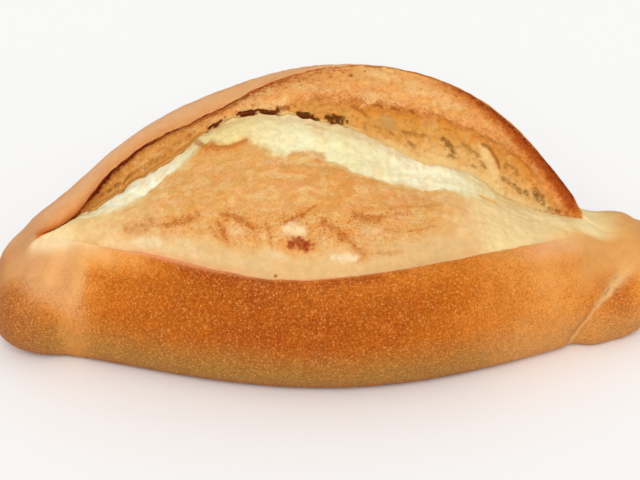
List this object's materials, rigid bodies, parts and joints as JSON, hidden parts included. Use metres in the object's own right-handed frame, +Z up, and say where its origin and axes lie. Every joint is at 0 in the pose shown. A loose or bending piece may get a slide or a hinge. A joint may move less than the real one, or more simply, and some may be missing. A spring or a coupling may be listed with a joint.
{
  "type": "bolillo bread roll",
  "caption": "Short pointed white bread roll with a knob at each end, a flat underside and one long slash opened under a raised ear of crust.",
  "frame": {"origin": "middle of the flat underside", "axes": "+X along the roll, -Y the side that the slash faces, +Z up"},
  "size_m": [0.157, 0.0776, 0.0634],
  "materials": {
    "crust": "baked white-bread crust, satin golden brown with a sandy sparkle, paler tan skin and cream crumb in the slash"
  },
  "bodies": {
    "root": {"bolillo_roll": "crust"}
  },
  "joints": []
}
